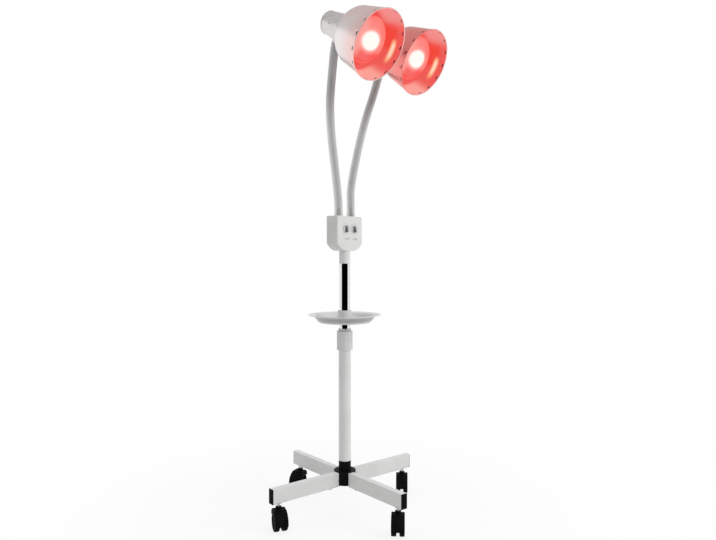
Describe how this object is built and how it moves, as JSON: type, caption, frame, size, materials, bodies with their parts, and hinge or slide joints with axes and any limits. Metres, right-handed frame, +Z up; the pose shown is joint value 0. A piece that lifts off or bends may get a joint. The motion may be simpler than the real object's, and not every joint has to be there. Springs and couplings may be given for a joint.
{
  "type": "infrared heat therapy lamp",
  "caption": "Free-standing infrared therapy lamp: bell shades on goosenecks, dimmer box, telescopic column with tray, cross base on twin-wheel casters.",
  "frame": {"origin": "on the column's axis at floor level, under the middle of the base", "axes": "+Z up along the column, -Y the way the shades and the control knobs face, +X towards the lamp's own second shade on the right as seen from the front"},
  "size_m": [0.5016, 0.5025, 1.3865],
  "materials": {
    "white_enamel": "smooth semi-gloss white enamel on steel",
    "black_enamel": "black enamel on a cast hub",
    "white_plastic": "white moulded plastic, fine satin texture",
    "tray_plastic": "glossy white moulded plastic",
    "sleeve_plastic": "plain off-white moulded plastic",
    "chrome_tube": "bright chrome plated steel tube",
    "arm_fitting": "satin nickel plated turned fittings",
    "gooseneck_grey": "flexible steel hose in satin grey",
    "shade_silver": "spun aluminium, silver-grey",
    "lamp_ceramic": "white glazed ceramic lamp holder",
    "lamp_cap": "pressed metal screw cap",
    "red_glass": "ruby red reflector bulb glass, glowing when lit",
    "knob_grey": "grey moulded plastic with a dark grip bar",
    "black_plastic": "black moulded plastic",
    "wheel_black": "black nylon wheel",
    "bright_steel": "zinc plated steel",
    "control_metal": "pressed metal dimmer bodies",
    "board_green": "green circuit board with components"
  },
  "bodies": {
    "base": {"base_hub": "black_enamel", "leg_front": "white_enamel", "leg_right": "white_enamel", "leg_rear": "white_enamel", "leg_left": "white_enamel", "leg_end_caps": "black_plastic", "base_bolts": "bright_steel", "caster_stems": "bright_steel", "lower_tube": "white_enamel", "collet": "sleeve_plastic"},
    "collar": {"collar_nut": "white_plastic"},
    "mast": {"upper_tube": "chrome_tube", "mast_foot": "sleeve_plastic"},
    "tray_carrier": {"tray_ring": "sleeve_plastic"},
    "tray_dish": {"tray": "tray_plastic"},
    "control_box": {"pole_adaptor": "white_enamel", "box_rear_shell": "white_plastic", "box_front_cover": "white_plastic", "box_screws": "bright_steel", "dimmer_controls": "control_metal", "circuit_board": "board_green", "power_inlet": "black_plastic"},
    "knob_left": {"knob_left": "knob_grey"},
    "knob_right": {"knob_right": "knob_grey"},
    "caster_front": {"caster_front_housing": "black_plastic", "caster_front_axle": "bright_steel"},
    "caster_front_wheel_a": {"caster_front_wheel_a": "wheel_black"},
    "caster_front_wheel_b": {"caster_front_wheel_b": "wheel_black"},
    "caster_right": {"caster_right_housing": "black_plastic", "caster_right_axle": "bright_steel"},
    "caster_right_wheel_a": {"caster_right_wheel_a": "wheel_black"},
    "caster_right_wheel_b": {"caster_right_wheel_b": "wheel_black"},
    "caster_rear": {"caster_rear_housing": "black_plastic", "caster_rear_axle": "bright_steel"},
    "caster_rear_wheel_a": {"caster_rear_wheel_a": "wheel_black"},
    "caster_rear_wheel_b": {"caster_rear_wheel_b": "wheel_black"},
    "caster_left": {"caster_left_housing": "black_plastic", "caster_left_axle": "bright_steel"},
    "caster_left_wheel_a": {"caster_left_wheel_a": "wheel_black"},
    "caster_left_wheel_b": {"caster_left_wheel_b": "wheel_black"},
    "arm_left": {"arm_base_left": "arm_fitting"},
    "gooseneck_left_lower": {"gooseneck_left_lower": "gooseneck_grey"},
    "gooseneck_left_middle": {"gooseneck_left_middle": "gooseneck_grey"},
    "gooseneck_left_upper": {"gooseneck_left_upper": "gooseneck_grey"},
    "head_left": {"head_fitting_left": "arm_fitting", "head_neck_left": "shade_silver", "head_shade_left": "shade_silver", "lamp_holder_left": "lamp_ceramic", "bulb_cap_left": "lamp_cap", "bulb_glass_left": "red_glass"},
    "arm_right": {"arm_base_right": "arm_fitting"},
    "gooseneck_right_lower": {"gooseneck_right_lower": "gooseneck_grey"},
    "gooseneck_right_middle": {"gooseneck_right_middle": "gooseneck_grey"},
    "gooseneck_right_upper": {"gooseneck_right_upper": "gooseneck_grey"},
    "head_right": {"head_fitting_right": "arm_fitting", "head_neck_right": "shade_silver", "head_shade_right": "shade_silver", "lamp_holder_right": "lamp_ceramic", "bulb_cap_right": "lamp_cap", "bulb_glass_right": "red_glass"}
  },
  "joints": [
    {"name": "collar_turn", "type": "hinge", "parent": "base", "child": "collar", "pos_m": [0, 0, 0.483], "axis": [0, 0, 1], "range_deg": [0, 90]},
    {"name": "column_height", "type": "slide", "parent": "base", "child": "mast", "axis": [0, 0, 1], "range_m": [-0.013, 0.2]},
    {"name": "tray_height", "type": "slide", "parent": "mast", "child": "tray_carrier", "axis": [0, 0, 1], "range_m": [0, 0.11]},
    {"name": "tray_turn", "type": "hinge", "parent": "tray_carrier", "child": "tray_dish", "pos_m": [0, 0, 0.55], "axis": [0, 0, 1], "continuous": true},
    {"name": "box_turn", "type": "hinge", "parent": "mast", "child": "control_box", "pos_m": [0, 0, 0.72], "axis": [0, 0, 1], "range_deg": [-170, 170]},
    {"name": "knob_left_turn", "type": "hinge", "parent": "control_box", "child": "knob_left", "pos_m": [-0.018, -0.02, 0.799], "axis": [0, 1, 0], "range_deg": [-135, 135]},
    {"name": "knob_right_turn", "type": "hinge", "parent": "control_box", "child": "knob_right", "pos_m": [0.018, -0.02, 0.799], "axis": [0, 1, 0], "range_deg": [-135, 135]},
    {"name": "caster_front_swivel", "type": "hinge", "parent": "base", "child": "caster_front", "pos_m": [-0.04542, -0.21935, 0.06], "axis": [0, 0, 1], "continuous": true},
    {"name": "caster_front_wheel_a_spin", "type": "hinge", "parent": "caster_front", "child": "caster_front_wheel_a", "pos_m": [-0.05786, -0.22773, 0.025], "axis": [0.5592, -0.829, 0], "continuous": true},
    {"name": "caster_front_wheel_b_spin", "type": "hinge", "parent": "caster_front", "child": "caster_front_wheel_b", "pos_m": [-0.05786, -0.22773, 0.025], "axis": [0.5592, -0.829, 0], "continuous": true},
    {"name": "caster_right_swivel", "type": "hinge", "parent": "base", "child": "caster_right", "pos_m": [0.21935, -0.04542, 0.06], "axis": [0, 0, 1], "continuous": true},
    {"name": "caster_right_wheel_a_spin", "type": "hinge", "parent": "caster_right", "child": "caster_right_wheel_a", "pos_m": [0.20706, -0.05403, 0.025], "axis": [0.5736, -0.8192, 0], "continuous": true},
    {"name": "caster_right_wheel_b_spin", "type": "hinge", "parent": "caster_right", "child": "caster_right_wheel_b", "pos_m": [0.20706, -0.05403, 0.025], "axis": [0.5736, -0.8192, 0], "continuous": true},
    {"name": "caster_rear_swivel", "type": "hinge", "parent": "base", "child": "caster_rear", "pos_m": [0.04542, 0.21935, 0.06], "axis": [0, 0, 1], "continuous": true},
    {"name": "caster_rear_wheel_a_spin", "type": "hinge", "parent": "caster_rear", "child": "caster_rear_wheel_a", "pos_m": [0.03101, 0.21521, 0.025], "axis": [0.2756, -0.9613, 0], "continuous": true},
    {"name": "caster_rear_wheel_b_spin", "type": "hinge", "parent": "caster_rear", "child": "caster_rear_wheel_b", "pos_m": [0.03101, 0.21521, 0.025], "axis": [0.2756, -0.9613, 0], "continuous": true},
    {"name": "caster_left_swivel", "type": "hinge", "parent": "base", "child": "caster_left", "pos_m": [-0.21935, 0.04542, 0.06], "axis": [0, 0, 1], "continuous": true},
    {"name": "caster_left_wheel_a_spin", "type": "hinge", "parent": "caster_left", "child": "caster_left_wheel_a", "pos_m": [-0.22729, 0.0327, 0.025], "axis": [0.848, -0.5299, 0], "continuous": true},
    {"name": "caster_left_wheel_b_spin", "type": "hinge", "parent": "caster_left", "child": "caster_left_wheel_b", "pos_m": [-0.22729, 0.0327, 0.025], "axis": [0.848, -0.5299, 0], "continuous": true},
    {"name": "arm_left_turn", "type": "hinge", "parent": "control_box", "child": "arm_left", "pos_m": [-0.027, 0, 0.85], "axis": [0, 0, 1], "range_deg": [-100, 0]},
    {"name": "gooseneck_left_lower_bend", "type": "hinge", "parent": "arm_left", "child": "gooseneck_left_lower", "pos_m": [-0.027, 0, 0.866], "axis": [1, 0, 0], "range_deg": [-18, 18]},
    {"name": "gooseneck_left_middle_bend", "type": "hinge", "parent": "gooseneck_left_lower", "child": "gooseneck_left_middle", "pos_m": [-0.052, -0.001, 1.0175], "axis": [1, 0, 0], "range_deg": [-18, 18]},
    {"name": "gooseneck_left_upper_bend", "type": "hinge", "parent": "gooseneck_left_middle", "child": "gooseneck_left_upper", "pos_m": [-0.07325, -0.011, 1.1675], "axis": [1, 0, 0], "range_deg": [-18, 18]},
    {"name": "head_left_tilt", "type": "hinge", "parent": "gooseneck_left_upper", "child": "head_left", "pos_m": [-0.08, -0.03158, 1.2839], "axis": [1, 0, 0], "range_deg": [-40, 15]},
    {"name": "arm_right_turn", "type": "hinge", "parent": "control_box", "child": "arm_right", "pos_m": [0.027, 0, 0.85], "axis": [0, 0, 1], "range_deg": [0, 100]},
    {"name": "gooseneck_right_lower_bend", "type": "hinge", "parent": "arm_right", "child": "gooseneck_right_lower", "pos_m": [0.027, 0, 0.866], "axis": [1, 0, 0], "range_deg": [-18, 18]},
    {"name": "gooseneck_right_middle_bend", "type": "hinge", "parent": "gooseneck_right_lower", "child": "gooseneck_right_middle", "pos_m": [0.05425, 0, 1.0125], "axis": [1, 0, 0], "range_deg": [-18, 18]},
    {"name": "gooseneck_right_upper_bend", "type": "hinge", "parent": "gooseneck_right_middle", "child": "gooseneck_right_upper", "pos_m": [0.0945, -0.015, 1.1575], "axis": [1, 0, 0], "range_deg": [-18, 18]},
    {"name": "head_right_tilt", "type": "hinge", "parent": "gooseneck_right_upper", "child": "head_right", "pos_m": [0.126, -0.03558, 1.2839], "axis": [1, 0, 0], "range_deg": [-40, 15]}
  ]
}
